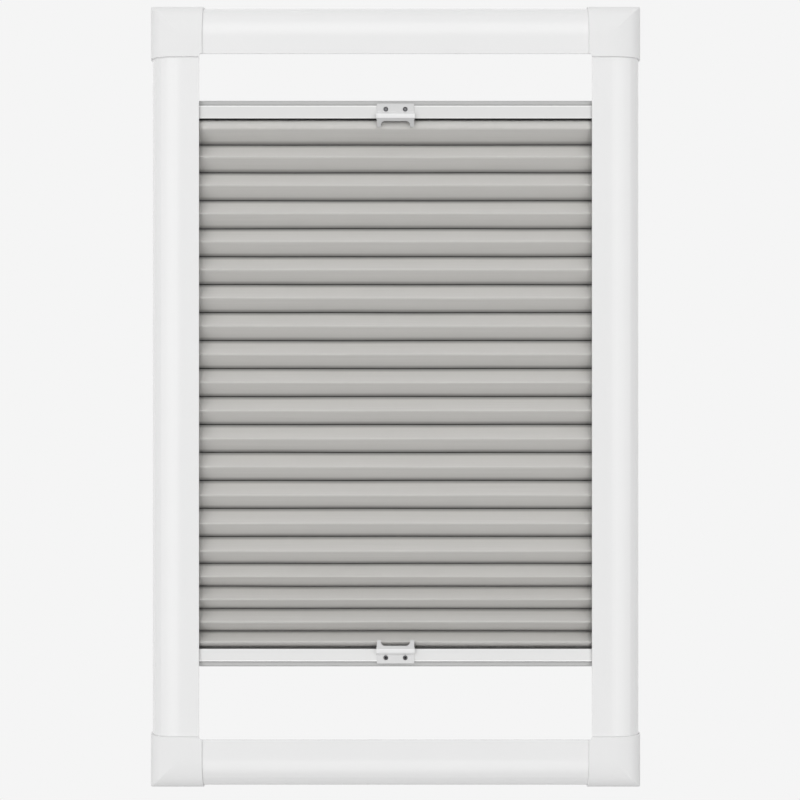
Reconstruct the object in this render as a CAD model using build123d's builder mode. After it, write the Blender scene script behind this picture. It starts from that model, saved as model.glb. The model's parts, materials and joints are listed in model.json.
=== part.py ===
"""Pleated blind in its own frame, for sticking to a window sash.

Two rails slide up and down in the guide channels of a mitred frame, and a pleated fabric
hangs between them. Millimetres. X runs across the blind, Z up, and the front faces -Y. The
origin is the centre of the blind's bounding box.
"""

from build123d import *
import os
from math import cos, radians, sin, sqrt

os.makedirs("parts", exist_ok=True)

# ---------------------------------------------------------------- driving dimensions
# Frame profiles: a closed outer chamber, and a guide channel that opens inwards
frame_width = 442.0
frame_height = 706.0
profile_width = 44.0
profile_depth = 25.0
profile_wall = 1.5
shoulder_radius = 14.5
shoulder_turn = 70.0
front_flat = 16.2
channel_reach = 15.0
back_wall_short = 6.0
lip_turn = 1.3
lip_wall = 1.3
snap_groove_width = 1.8
snap_groove_depth = 0.7
snap_groove_height = 3.2

# Corner covers, corner keys and corner screws
cover_wall = 1.6
cover_fit = 0.15
cover_past = 3.0
cover_lift = 0.4
cover_notch_chamfer = 2.0
cover_edge_radius = 1.5
cover_rim_radius = 0.5
snap_bead_length = 26.0
key_fit = 0.2
key_wall = 2.4
key_leg = 62.0
corner_screw_along = 35.0
corner_screw_to_web = 2.7
corner_screw_radius = 1.2
corner_screw_head_radius = 2.3
corner_screw_length = 9.0
corner_screw_recess = 0.9
corner_screw_sink = 0.35
screw_fit = 0.05

# Mounting tape
tape_thickness = 1.0
tape_width = 12.0
tape_in = 14.0
tape_end = 60.0

# Rails
rail_height = 17.5
rail_fit = 0.95
rail_face = 11.9
rail_step = 3.0
rail_chamfer_height = 1.5
rail_chamfer_depth = 4.5
rail_wall = 1.3
rail_edge_radius = 0.9
rail_past_lip = 3.5
slot_mouth = 3.0
slot_width = 6.8
slot_depth = 3.4
slot_wall = 1.2
top_gap = 40.5
bottom_gap = 64.4

# Fabric strips
strip_fit = 0.2
strip_back = 0.6
strip_slit_fit = 0.06
strip_end_gap = 2.0

# Guide shoes and brake springs
shoe_fit = 0.3
shoe_tongue = 18.0
shoe_tongue_fit = 0.15
shoe_head_inset = 1.0
shoe_edge_radius = 0.8
brake_gap = 3.2
brake_clearance = 0.3
brake_thickness = 0.3
brake_width = 8.0
brake_length = 12.6
brake_foot = 1.6
brake_pocket_depth = 0.5
brake_pocket_fit = 0.2

# Finger grips, measured from the rail's fabric edge and from its front
grip_width = 33.6
grip_flare = 0.6
grip_top = 13.3
grip_wall = 1.6
grip_rise_start = 5.7
grip_rise_end = 3.3
grip_crest = 6.0
grip_nose_start = 0.4
grip_nose_end = -2.9
grip_tip = -7.9
grip_tip_front = 2.3
grip_rise_radius = 0.7
grip_crest_radius = 2.6
grip_nose_radius = 4.0
grip_horn = 3.7
grip_arch_radius = 3.6
grip_corner_radius = 0.8
grip_screw_spacing = 17.5
grip_screw_height = 8.2
grip_screw_radius = 1.1
grip_screw_head_radius = 2.05
grip_screw_head_height = 1.1
grip_screw_length = 7.5
grip_screw_recess_fit = 0.2
grip_screw_sink = 0.8
grip_screw_socket = 0.75
grip_screw_socket_depth = 0.6

# Fabric: one sheet in accordion pleats; the shares say how the pleats divide the drop
fabric_thickness = 0.4
fabric_past_lip = 3.0
fabric_fit = 0.7
fabric_clearance = 0.3
pleat_pitch = 25.5
first_pleat_share = 0.84
gathered_pleat_shares = [0.97, 0.82, 0.8, 0.8, 0.53]

# ---------------------------------------------------------------- worked out from them
opening_width = frame_width - 2 * profile_width
opening_height = frame_height - 2 * profile_width
cover_reach = profile_width + cover_past
web_in = profile_width - channel_reach - profile_wall
channel_depth = profile_depth - 2 * profile_wall
# What slides and hangs in the channels stays as far from the back as the lip keeps it in front.
clear_depth = channel_depth - 2 * lip_turn
# The shoulder and the crown reach from the outer side to the flat strip beside the opening.
crown_turn = 90.0 - shoulder_turn
shoulder_end = shoulder_radius * (1 - cos(radians(shoulder_turn)))
crown_end = profile_width - front_flat
crown_radius = (crown_end - shoulder_end) / sin(radians(crown_turn))
crown_rise = shoulder_radius * sin(radians(shoulder_turn))
crown_rise += crown_radius * (1 - cos(radians(crown_turn)))
side_height = profile_depth - crown_rise
corner_screw_in = web_in - corner_screw_to_web
corner_screw_front = tape_thickness + profile_depth - corner_screw_sink

rail_depth = clear_depth - 2 * rail_fit
rail_length = opening_width + 2 * rail_past_lip
rail_back = tape_thickness + (profile_depth - rail_depth) / 2
rail_front = rail_back + rail_depth
top_rail_z = opening_height / 2 - top_gap - rail_height
bottom_rail_z = -opening_height / 2 + bottom_gap + rail_height
hollow_start = 2 * slot_wall + slot_depth
hollow_end = rail_height - rail_chamfer_height - rail_wall

fabric_width = opening_width + 2 * fabric_past_lip
fabric_drop = top_rail_z - bottom_rail_z
fabric_panel = clear_depth - 2 * fabric_fit
uneven_shares = first_pleat_share + sum(gathered_pleat_shares)
open_pleats = round(fabric_drop / pleat_pitch - uneven_shares)
pleat_shares = [first_pleat_share] + [1.0] * open_pleats + gathered_pleat_shares
open_pitch = fabric_drop / sum(pleat_shares)

# The blind's depth runs from the tape's back to the foremost of the covers and the grips.
overall_depth = max(tape_thickness + profile_depth + cover_wall, rail_front + grip_crest)
sash_y = overall_depth / 2

UP = Vector(0, 0, 1)
OUT = Vector(0, -1, 0)
SIDES = {"left": -1, "right": 1}
LEVELS = {"bottom": -1, "top": 1}


def out(distance):
    """The Y of a place that far in front of the sash."""
    return sash_y - distance


def profile_plane(inward):
    """The plane of a profile's section: x from its outer edge inwards, y from its back out."""
    inward = Vector(*inward)
    half = frame_width / 2 if inward.X else frame_height / 2
    start = inward * -half + Vector(0, out(tape_thickness), 0)
    return Plane(origin=start, x_dir=inward, z_dir=inward.cross(OUT))


def mitre_plane(along, inward):
    """The 45 degree plane through the frame's corner at the along end of a profile.

    Its normal points to the side that the profile keeps.
    """
    along = Vector(*along)
    inward = Vector(*inward)
    half_x = frame_width / 2
    half_z = frame_height / 2
    reach = along - inward
    corner = Vector(reach.X * half_x, 0, reach.Z * half_z)
    return Plane(origin=corner, x_dir=(0, 1, 0), z_dir=-(along + inward))


def front_plane(x, z, distance):
    """A plane that faces the room, with its origin at x, z and that far from the sash."""
    return Plane(origin=(x, out(distance), z), x_dir=(1, 0, 0), z_dir=(0, -1, 0))


def rail_plane(level, x=0.0):
    """The plane of a rail's section: x away from the fabric from its edge, y from its back out."""
    edge = top_rail_z if level > 0 else bottom_rail_z
    away = UP * level
    return Plane(origin=(x, out(rail_back), edge), x_dir=away, z_dir=away.cross(OUT))


def roof(offset, base, inner_end):
    """The convex outline that the profile, the cover and the key share, grown by the offset."""
    with BuildSketch() as outline:
        with BuildLine():
            side = Line((-offset, base), (-offset, side_height))
            shoulder = JernArc(side @ 1, (0, 1), shoulder_radius + offset, -shoulder_turn)
            crown = JernArc(shoulder @ 1, shoulder % 1, crown_radius + offset, -crown_turn)
            Polyline(crown @ 1, (inner_end, profile_depth + offset), (inner_end, base), side @ 0)
        make_face()
    return outline.sketch


def chamber(inset):
    """The outer chamber's outline, that far inside the profile's skin and short of its web."""
    with BuildSketch() as outline:
        add(roof(-inset, inset, profile_width))
        with Locations((web_in + profile_wall - inset, 0)):
            Rectangle(
                profile_width,
                profile_depth,
                align=(Align.MIN, Align.MIN),
                mode=Mode.SUBTRACT,
            )
    return outline.sketch


def corner_block(side, level, offset, base, reach):
    """A corner's solid under the two crossing roofs, as far as reach from the outer edges."""
    length = reach + offset
    with BuildPart() as block:
        for inward, across in (((0, 0, -level), (-side, 0, 0)), ((-side, 0, 0), (0, 0, -level))):
            plane = profile_plane(inward)
            half = frame_height / 2 if inward[0] else frame_width / 2
            start = Vector(*across) * -(half + offset)
            mode = Mode.INTERSECT if inward[0] else Mode.ADD
            with BuildSketch(Plane(plane.origin + start, x_dir=plane.x_dir, z_dir=plane.z_dir)):
                add(roof(offset, base, reach))
            extrude(amount=length, dir=across, mode=mode)
    return block.part


def lies_on(edge, plane):
    """Whether the whole edge lies on the plane."""
    return all(abs(plane.to_local_coords(edge @ at).Z) < 0.001 for at in (0, 0.5, 1))


def corner_screw_places(side, level):
    """The x, z of a corner's two screws, by the inward direction of the profile each goes through."""
    x_along = side * (frame_width / 2 - corner_screw_along)
    x_in = side * (frame_width / 2 - corner_screw_in)
    z_along = level * (frame_height / 2 - corner_screw_along)
    z_in = level * (frame_height / 2 - corner_screw_in)
    return {(0, 0, -level): (x_along, z_in), (-side, 0, 0): (x_in, z_along)}


# ---------------------------------------------------------------- frame profiles
with BuildSketch() as profile_section:
    add(roof(0, 0, profile_width))
    # outer chamber
    add(chamber(profile_wall), mode=Mode.SUBTRACT)
    # guide channel, open to the back wall's shorter edge behind the lip of the front wall
    channel_middle = profile_depth / 2
    channel_end = profile_width - lip_wall
    channel_start = web_in + profile_wall
    with Locations(((channel_start + channel_end) / 2, channel_middle)):
        Rectangle(channel_end - channel_start, channel_depth, mode=Mode.SUBTRACT)
    with Locations((profile_width, 0)):
        Rectangle(
            back_wall_short,
            profile_depth - profile_wall - lip_turn,
            align=(Align.MAX, Align.MIN),
            mode=Mode.SUBTRACT,
        )
    # snap groove for the covers in the outer side
    with Locations((snap_groove_depth / 2, snap_groove_height + snap_groove_width / 2)):
        Rectangle(snap_groove_depth, snap_groove_width, mode=Mode.SUBTRACT)

PROFILES = {
    "top_profile": ((0, 0, -1), (1, 0, 0), frame_width),
    "bottom_profile": ((0, 0, 1), (1, 0, 0), frame_width),
    "left_profile": ((1, 0, 0), (0, 0, 1), frame_height),
    "right_profile": ((-1, 0, 0), (0, 0, 1), frame_height),
}
for name, (inward, along, length) in PROFILES.items():
    with BuildPart() as profile:
        with BuildSketch(profile_plane(inward)):
            add(profile_section.sketch)
        extrude(amount=length / 2, both=True)
        for end in (-1, 1):
            split(bisect_by=mitre_plane(Vector(*along) * end, inward), keep=Keep.TOP)
        for side in SIDES.values():
            for level in LEVELS.values():
                places = corner_screw_places(side, level)
                if inward in places:
                    with Locations(front_plane(*places[inward], corner_screw_front)):
                        CounterSinkHole(
                            corner_screw_radius + screw_fit,
                            corner_screw_head_radius + screw_fit,
                            depth=2 * profile_wall,
                            counter_sink_angle=90,
                        )
    profile.part.label = name
    export_step(profile.part, f"parts/{name}.step")

# ---------------------------------------------------------------- corner covers and keys
corner_screws = []
for level_name, level in LEVELS.items():
    for side_name, side in SIDES.items():
        corner = f"{level_name}_{side_name}"
        corner_x = side * frame_width / 2
        corner_z = level * frame_height / 2
        mitre = mitre_plane((side, 0, 0), (0, 0, -level))

        with BuildPart() as corner_cover:
            add(corner_block(side, level, cover_wall, cover_lift, cover_reach))
            fillet([e for e in corner_cover.edges() if lies_on(e, mitre)], cover_edge_radius)
            seam_x = Plane((corner_x - side * cover_reach, 0, 0), z_dir=(1, 0, 0))
            seam_z = Plane((0, 0, corner_z - level * cover_reach), z_dir=(0, 0, 1))
            back = Plane((0, out(tape_thickness + cover_lift), 0), z_dir=(0, 1, 0))
            rims = [e for e in corner_cover.edges() if lies_on(e, seam_x) or lies_on(e, seam_z)]
            fillet([e for e in rims if not lies_on(e, back)], cover_rim_radius)
            add(
                corner_block(side, level, cover_fit, -profile_depth, cover_reach + 1),
                mode=Mode.SUBTRACT,
            )
            # the opening's corner, with a small web left across its angle
            notch = profile_width
            past = cover_reach + 1
            chamfered = notch + cover_notch_chamfer
            with BuildSketch(front_plane(corner_x, corner_z, 0)):
                outline = [
                    (chamfered, notch),
                    (past, notch),
                    (past, past),
                    (notch, past),
                    (notch, chamfered),
                ]
                with BuildLine():
                    Polyline(*[(-side * x, -level * z) for x, z in outline], close=True)
                make_face()
            extrude(amount=2 * overall_depth, mode=Mode.SUBTRACT)
            # beads that snap into the profiles' grooves
            bead_middle = (cover_wall + cover_reach) / 2
            bead_out = tape_thickness + snap_groove_height + snap_groove_width / 2
            bead_in = snap_groove_depth - cover_fit
            bead_high = snap_groove_width - 2 * cover_fit
            bead_deep = bead_in + (cover_wall + cover_fit) / 2
            bead_centre = bead_in - bead_deep / 2
            for along_x in (True, False):
                x = bead_middle if along_x else bead_centre
                z = bead_centre if along_x else bead_middle
                size_x = snap_bead_length if along_x else bead_deep
                size_z = bead_deep if along_x else snap_bead_length
                with Locations((corner_x - side * x, out(bead_out), corner_z - level * z)):
                    Box(size_x, bead_high, size_z)
        corner_cover.part.label = f"{corner}_corner_cover"
        export_step(corner_cover.part, f"parts/{corner}_corner_cover.step")

        # a hollow elbow with one leg in each profile's outer chamber
        with BuildPart() as corner_key:
            plane = profile_plane((0, 0, -level))
            start = Vector(corner_x - side * key_leg, 0, 0) + plane.origin
            with BuildSketch(Plane(start, x_dir=plane.x_dir, z_dir=plane.z_dir)):
                add(chamber(profile_wall + key_fit))
                add(chamber(profile_wall + key_fit + key_wall), mode=Mode.SUBTRACT)
            extrude(amount=key_leg, dir=(side, 0, 0))
            split(bisect_by=mitre, keep=Keep.TOP)
            mirror(about=mitre)
            for x, z in corner_screw_places(side, level).values():
                with Locations(front_plane(x, z, corner_screw_front)):
                    Hole(corner_screw_radius + screw_fit, depth=corner_screw_length + 1)
        corner_key.part.label = f"{corner}_corner_key"
        export_step(corner_key.part, f"parts/{corner}_corner_key.step")

        corner_screws += corner_screw_places(side, level).values()

# countersunk screws: a cone under a flat head with a hexagonal socket
with BuildPart() as corner_screw_group:
    for x, z in corner_screws:
        with BuildSketch(Plane(origin=(x, out(corner_screw_front), z), x_dir=(1, 0, 0))):
            with BuildLine():
                Polyline(
                    (0, 0),
                    (corner_screw_head_radius, 0),
                    (corner_screw_radius, corner_screw_head_radius - corner_screw_radius),
                    (corner_screw_radius, corner_screw_length),
                    (0, corner_screw_length),
                    close=True,
                )
            make_face()
        revolve(axis=Axis((x, 0, z), (0, 1, 0)))
    for x, z in corner_screws:
        with BuildSketch(front_plane(x, z, corner_screw_front)):
            RegularPolygon(corner_screw_head_radius / 2, 6)
        extrude(amount=-corner_screw_recess, mode=Mode.SUBTRACT)
corner_screw_group.part.label = "corner_screws"
export_step(corner_screw_group.part, "parts/corner_screws.step")

# ---------------------------------------------------------------- mounting tape
for name, (inward, along, length) in PROFILES.items():
    with BuildPart() as tape:
        plane = profile_plane(inward)
        middle = plane.origin + Vector(*inward) * tape_in
        with BuildSketch(Plane(middle, x_dir=along, z_dir=(0, 1, 0))):
            Rectangle(length - 2 * tape_end, tape_width)
        extrude(amount=tape_thickness)
    label = name.replace("profile", "mounting_tape")
    tape.part.label = label
    export_step(tape.part, f"parts/{label}.step")

# ---------------------------------------------------------------- sections of the rail pieces
with BuildSketch() as rail_section:
    step_front = rail_depth - rail_step
    with BuildLine():
        Polyline(
            (0, 0),
            (rail_height, 0),
            (rail_height, step_front - rail_chamfer_depth),
            (rail_height - rail_chamfer_height, step_front),
            (rail_face, step_front),
            (rail_face, rail_depth),
            (0, rail_depth),
            close=True,
        )
    make_face()
    front_corners = rail_section.vertices().group_by(Axis.Y)[-1]
    fillet(front_corners, rail_edge_radius)
    # closed hollow, deeper behind the front face than behind the step
    hollow_back = rail_wall
    hollow_middle = (hollow_start + hollow_end) / 2
    step_hollow = step_front - 2 * rail_wall
    with Locations((hollow_middle, hollow_back + step_hollow / 2)):
        Rectangle(hollow_end - hollow_start, step_hollow, mode=Mode.SUBTRACT)
    face_hollow_end = rail_face - rail_wall
    face_hollow = rail_depth - 2 * rail_wall
    with Locations(((hollow_start + face_hollow_end) / 2, hollow_back + face_hollow / 2)):
        Rectangle(face_hollow_end - hollow_start, face_hollow, mode=Mode.SUBTRACT)
    # slot for the fabric strip
    with Locations((slot_wall + slot_depth / 2, rail_depth / 2)):
        Rectangle(slot_depth, slot_width, mode=Mode.SUBTRACT)
    with Locations((slot_wall / 2, rail_depth / 2)):
        Rectangle(slot_wall, slot_mouth, mode=Mode.SUBTRACT)

# The fold shift is half of the sheet's thickness measured along Y on an open pleat.
fold_shift = fabric_thickness * fabric_panel / open_pitch
slit = 2 * (fold_shift + strip_slit_fit)
strip_height = slot_depth - 2 * strip_fit
strip_slit_depth = strip_height - strip_back
with BuildSketch() as strip_section:
    with Locations((slot_wall + slot_depth / 2, rail_depth / 2)):
        Rectangle(strip_height, slot_width - 2 * strip_fit)
    with Locations((slot_wall + strip_fit + strip_slit_depth / 2, rail_depth / 2)):
        Rectangle(strip_slit_depth, slit, mode=Mode.SUBTRACT)

shoe_reach = (profile_depth - rail_depth) / 2 - profile_wall - shoe_fit
shoe_head_length = channel_reach - rail_past_lip - brake_gap
with BuildSketch() as shoe_head_section:
    with Locations((rail_height / 2, rail_depth / 2)):
        Rectangle(rail_height - 2 * shoe_head_inset, rail_depth + 2 * shoe_reach)
    fillet(shoe_head_section.vertices(), shoe_edge_radius)
with BuildSketch() as shoe_tongue_section:
    tongue_back = hollow_back + shoe_tongue_fit
    tongue_depth = step_hollow - 2 * shoe_tongue_fit
    with Locations((hollow_middle, tongue_back + tongue_depth / 2)):
        Rectangle(hollow_end - hollow_start - 2 * shoe_tongue_fit, tongue_depth)

# side section of the grip, one wall throughout: plate, rise, crest and the slanting nose
with BuildSketch() as grip_section:
    crest = rail_depth + grip_crest
    plate = rail_depth + grip_wall
    with BuildLine():
        FilletPolyline(
            (grip_top, plate),
            (grip_rise_start, plate),
            (grip_rise_end, crest),
            (grip_nose_start, crest),
            (grip_tip, rail_depth + grip_tip_front),
            radius=[grip_rise_radius, grip_crest_radius, grip_nose_radius],
        )
        offset(amount=grip_wall, side=Side.LEFT)
    make_face()
# front outline of the grip, with the flare at the crest and the finger arch between the horns
with BuildSketch() as grip_front:
    half = grip_width / 2
    with BuildLine():
        Polyline(
            (grip_top, half),
            (grip_rise_start + grip_wall, half),
            (grip_rise_end, half + grip_flare),
            (grip_nose_start, half + grip_flare),
            (grip_nose_end, half),
            (grip_tip, half),
            (grip_tip, -half),
            (grip_nose_end, -half),
            (grip_nose_start, -half - grip_flare),
            (grip_rise_end, -half - grip_flare),
            (grip_rise_start + grip_wall, -half),
            (grip_top, -half),
            close=True,
        )
    make_face()
    fillet(grip_front.vertices().group_by(Axis.X)[-1], grip_corner_radius)
    arch_length = grip_nose_end - grip_tip
    with BuildSketch(mode=Mode.SUBTRACT):
        with Locations((grip_tip, 0)):
            Rectangle(2 * arch_length, grip_width - 2 * grip_horn)
        fillet(vertices().group_by(Axis.X)[-1], grip_arch_radius)

# ---------------------------------------------------------------- the two rails and what they carry
for level_name, level in LEVELS.items():
    section_plane = rail_plane(level)

    with BuildPart() as rail:
        with BuildSketch(section_plane):
            add(rail_section.sketch)
        extrude(amount=rail_length / 2, both=True)
        screw_z = section_plane.origin.Z + level * grip_screw_height
        with Locations(front_plane(0, screw_z, rail_front)):
            with GridLocations(grip_screw_spacing, 0, 2, 1):
                Hole(grip_screw_radius + screw_fit, depth=2 * rail_wall)
    rail.part.label = f"{level_name}_rail"
    export_step(rail.part, f"parts/{level_name}_rail.step")

    with BuildPart() as fabric_strip:
        with BuildSketch(section_plane):
            add(strip_section.sketch)
        extrude(amount=rail_length / 2 - strip_end_gap, both=True)
    fabric_strip.part.label = f"{level_name}_fabric_strip"
    export_step(fabric_strip.part, f"parts/{level_name}_fabric_strip.step")

    for side_name, side in SIDES.items():
        rail_end = side * rail_length / 2
        head_end = rail_end + side * shoe_head_length
        outwards = (side, 0, 0)
        inwards = (-side, 0, 0)
        with BuildPart() as guide_shoe:
            with BuildSketch(rail_plane(level, rail_end)):
                add(shoe_head_section.sketch)
            extrude(amount=shoe_head_length, dir=outwards)
            with BuildSketch(rail_plane(level, rail_end)):
                add(shoe_tongue_section.sketch)
            extrude(amount=shoe_tongue, dir=inwards)
            # shallow pocket that keeps the brake spring in place
            with BuildSketch(rail_plane(level, head_end)):
                with Locations((rail_height / 2, rail_depth / 2)):
                    Rectangle(
                        brake_length + 2 * brake_pocket_fit,
                        brake_width + 2 * brake_pocket_fit,
                    )
            extrude(amount=brake_pocket_depth, dir=inwards, mode=Mode.SUBTRACT)
        label = f"{level_name}_{side_name}_guide_shoe"
        guide_shoe.part.label = label
        export_step(guide_shoe.part, f"parts/{label}.step")

        # a leaf with two flat feet and a bow towards the channel's web
        bow = brake_gap + brake_pocket_depth - brake_clearance
        pocket_floor = head_end - side * brake_pocket_depth
        leaf_z = section_plane.origin.Z + level * rail_height / 2
        leaf_plane = Plane(
            origin=(pocket_floor, out(rail_back + rail_depth / 2), leaf_z),
            x_dir=(0, 0, 1),
            z_dir=Vector(0, 0, 1).cross(Vector(side, 0, 0)),
        )
        with BuildPart() as brake_spring:
            with BuildSketch(leaf_plane):
                end = brake_length / 2
                foot = end - brake_foot
                with BuildLine():
                    under = Polyline((-end, 0), (-foot, 0))
                    inner = ThreePointArc(under @ 1, (0, bow - brake_thickness), (foot, 0))
                    Polyline(inner @ 1, (end, 0), (end, brake_thickness), (foot, brake_thickness))
                    ThreePointArc((foot, brake_thickness), (0, bow), (-foot, brake_thickness))
                    Polyline((-foot, brake_thickness), (-end, brake_thickness), under @ 0)
                make_face()
            extrude(amount=brake_width / 2, both=True)
        label = f"{level_name}_{side_name}_brake_spring"
        brake_spring.part.label = label
        export_step(brake_spring.part, f"parts/{label}.step")

    with BuildPart() as grip:
        with BuildSketch(section_plane):
            add(grip_section.sketch)
        extrude(amount=grip_width / 2 + grip_flare, both=True)
        grip_outline_plane = Plane(
            origin=(0, out(rail_back), section_plane.origin.Z),
            x_dir=section_plane.x_dir,
            z_dir=(0, -1, 0),
        )
        with BuildSketch(grip_outline_plane):
            add(grip_front.sketch)
        extrude(amount=rail_depth + 2 * grip_crest, mode=Mode.INTERSECT)
        with Locations(front_plane(0, screw_z, rail_front + grip_wall)):
            with GridLocations(grip_screw_spacing, 0, 2, 1):
                CounterBoreHole(
                    grip_screw_radius + screw_fit,
                    grip_screw_head_radius + grip_screw_recess_fit,
                    grip_screw_sink,
                    depth=2 * grip_wall,
                )
    grip.part.label = f"{level_name}_grip"
    export_step(grip.part, f"parts/{level_name}_grip.step")

    # domed screws with a hexagonal socket
    with BuildPart() as grip_screws:
        seat = rail_front + grip_wall - grip_screw_sink
        dome = grip_screw_head_height
        for x in (-grip_screw_spacing / 2, grip_screw_spacing / 2):
            with BuildSketch(Plane(origin=(x, out(seat), screw_z), x_dir=(1, 0, 0))):
                with BuildLine():
                    Polyline(
                        (0, -dome),
                        (0, grip_screw_length),
                        (grip_screw_radius, grip_screw_length),
                        (grip_screw_radius, 0),
                        (grip_screw_head_radius, 0),
                        (grip_screw_head_radius, -dome / 3),
                    )
                    EllipticalCenterArc(
                        (0, -dome / 3), grip_screw_head_radius, dome * 2 / 3, 270, arc_size=90
                    )
                make_face()
            revolve(axis=Axis((x, 0, screw_z), (0, 1, 0)))
            with BuildSketch(front_plane(x, screw_z, seat + dome)):
                RegularPolygon(grip_screw_socket, 6)
            extrude(amount=-grip_screw_socket_depth, mode=Mode.SUBTRACT)
    grip_screws.part.label = f"{level_name}_grip_screws"
    export_step(grip_screws.part, f"parts/{level_name}_grip_screws.step")

# ---------------------------------------------------------------- pleated fabric
# The path down the sheet: a tail in each strip's slit, a fold at the front of every pleat and
# one at the back between two pleats. Every panel keeps its length, so close pleats are deeper.
tail = slot_wall + strip_fit + strip_slit_depth - fabric_clearance
pitches = [open_pitch * share for share in pleat_shares]
depths = [sqrt(fabric_panel**2 - (pitch / 2) ** 2) for pitch in pitches]
fabric_middle = out(rail_back + rail_depth / 2)
path = [(fabric_middle, top_rail_z + tail), (fabric_middle, top_rail_z - fabric_clearance)]
pleat_top = top_rail_z
for number, (pitch, depth) in enumerate(zip(pitches, depths)):
    above = 0 if number == 0 else depth / 2
    below = 0 if number == len(pitches) - 1 else depth / 2
    fold = pleat_top - pitch * (depth / 2 + above) / (depth + above + below)
    path.append((fabric_middle - depth / 2, fold))
    pleat_top -= pitch
    if below:
        path.append((fabric_middle + depth / 2, pleat_top))
path += [
    (fabric_middle, bottom_rail_z + fabric_clearance),
    (fabric_middle, bottom_rail_z - tail),
]
front_side = [(y - fold_shift, z) for y, z in path]
back_side = [(y + fold_shift, z) for y, z in reversed(path)]
with BuildPart() as fabric:
    with BuildSketch(Plane.YZ):
        with BuildLine():
            Polyline(*front_side, *back_side, close=True)
        make_face()
    extrude(amount=fabric_width / 2, both=True)
fabric.part.label = "pleated_fabric"
export_step(fabric.part, "parts/pleated_fabric.step")
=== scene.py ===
# %% [markdown]
# # A framed pleated blind
# The blind is an aluminium frame that is stuck to a window sash. Two rails slide in its side
# channels, and a pleated cloth hangs between them. This lesson starts from the finished
# metalwork and mouldings and gives them their looks: white coatings, dark little screws, and
# one sheet of grey cloth. Each cell makes one thing and prints what it made.

# %% Load the fixed frame
import json
from math import pi

import bpy
import numpy as np
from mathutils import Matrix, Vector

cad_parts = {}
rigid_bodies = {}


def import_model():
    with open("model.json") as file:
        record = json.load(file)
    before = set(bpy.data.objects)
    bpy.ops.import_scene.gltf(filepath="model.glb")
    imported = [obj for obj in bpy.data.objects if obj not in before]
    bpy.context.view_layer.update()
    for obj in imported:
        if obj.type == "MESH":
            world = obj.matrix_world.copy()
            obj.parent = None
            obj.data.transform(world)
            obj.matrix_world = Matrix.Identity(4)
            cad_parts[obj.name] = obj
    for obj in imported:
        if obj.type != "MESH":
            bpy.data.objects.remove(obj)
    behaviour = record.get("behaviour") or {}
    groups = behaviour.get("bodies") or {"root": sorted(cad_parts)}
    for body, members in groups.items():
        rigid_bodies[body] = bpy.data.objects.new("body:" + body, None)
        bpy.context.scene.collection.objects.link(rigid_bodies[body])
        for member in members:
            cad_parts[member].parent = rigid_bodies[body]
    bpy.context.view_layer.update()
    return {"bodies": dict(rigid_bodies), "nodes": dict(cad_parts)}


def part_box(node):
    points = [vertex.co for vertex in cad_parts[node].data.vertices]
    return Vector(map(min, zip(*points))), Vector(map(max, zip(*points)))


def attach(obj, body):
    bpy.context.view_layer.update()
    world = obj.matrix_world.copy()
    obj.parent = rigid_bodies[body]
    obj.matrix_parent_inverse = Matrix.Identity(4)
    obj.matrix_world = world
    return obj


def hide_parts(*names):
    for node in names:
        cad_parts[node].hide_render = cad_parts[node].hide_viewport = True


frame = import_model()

nodes = frame["nodes"]

# %% [markdown]
# ## The fold lines of the cloth
# A pleated cloth is heat-set: its panels stay nearly flat, and all the bending sits in the
# fold lines. So the shape is fully known from one zigzag line seen from the side. The solid
# stand-in already has that zigzag in its corners, and reading it back from there keeps the
# cloth exactly where the rails expect it, with no number written twice. Only the first and the
# last front fold are moved a little, because the half panels pull them away from the rails.

# %% Read the zigzag from the stand-in
def corners_of(name):
    """Every vertex of a frame node as rows of x, y, z."""
    mesh = nodes[name].data
    flat = np.empty(len(mesh.vertices) * 3)
    mesh.vertices.foreach_get("co", flat)
    return flat.reshape(-1, 3)


def zigzag_of(name):
    """The middle line of a folded sheet from top to bottom, as rows of y, z.

    Corners of one fold share a height. The middle is half way between the foremost and the
    rearmost of them.
    """
    points = corners_of(name)
    heights, owner = np.unique(np.round(points[:, 2], 5), return_inverse=True)
    front = np.full(len(heights), np.inf)
    back = np.full(len(heights), -np.inf)
    np.minimum.at(front, owner, points[:, 1])
    np.maximum.at(back, owner, points[:, 1])
    return np.stack([(front + back) / 2, heights], axis=1)[::-1]


FIRST_FRONT_FOLD = 2
END_FOLD_DROP = 0.0014
zigzag = zigzag_of("pleated_fabric")
zigzag[FIRST_FRONT_FOLD, 1] -= END_FOLD_DROP
zigzag[-1 - FIRST_FRONT_FOLD, 1] += END_FOLD_DROP
steps = np.diff(zigzag, axis=0)
lengths = np.hypot(steps[:, 0], steps[:, 1])
panel = np.median(lengths)
print("folds:", len(zigzag), "panel:", round(panel * 1000, 2), "mm")

# %% [markdown]
# ## A grid over the sheet
# A cloth simulation would find this shape only slowly, because cloth resists being folded so
# tightly. A grid is exact instead: one direction runs across the blind, and the other runs
# down the sheet through every fold, with its rows crowded near the folds, where the surface
# turns.

# %% Rows down the sheet, columns across it
ROWS_PER_PANEL = 15
COLUMNS = 56
FOLD_RADIUS = 0.00032
PANEL_BOW = 0.0002
TOP_BOW = 0.003
BOTTOM_BOW = 0.001

arc = np.concatenate([[0], np.cumsum(lengths)])
turn = np.arange(ROWS_PER_PANEL) / ROWS_PER_PANEL
crowded = (1 - np.cos(pi * turn)) / 2
share = np.append(np.tile(crowded, len(lengths)), 1)
segment = np.append(np.repeat(np.arange(len(lengths)), ROWS_PER_PANEL), len(lengths) - 1)
along = arc[segment] + share * lengths[segment]
print("rows:", len(along), "columns:", COLUMNS, "sheet length:", round(arc[-1], 4), "m")


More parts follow.
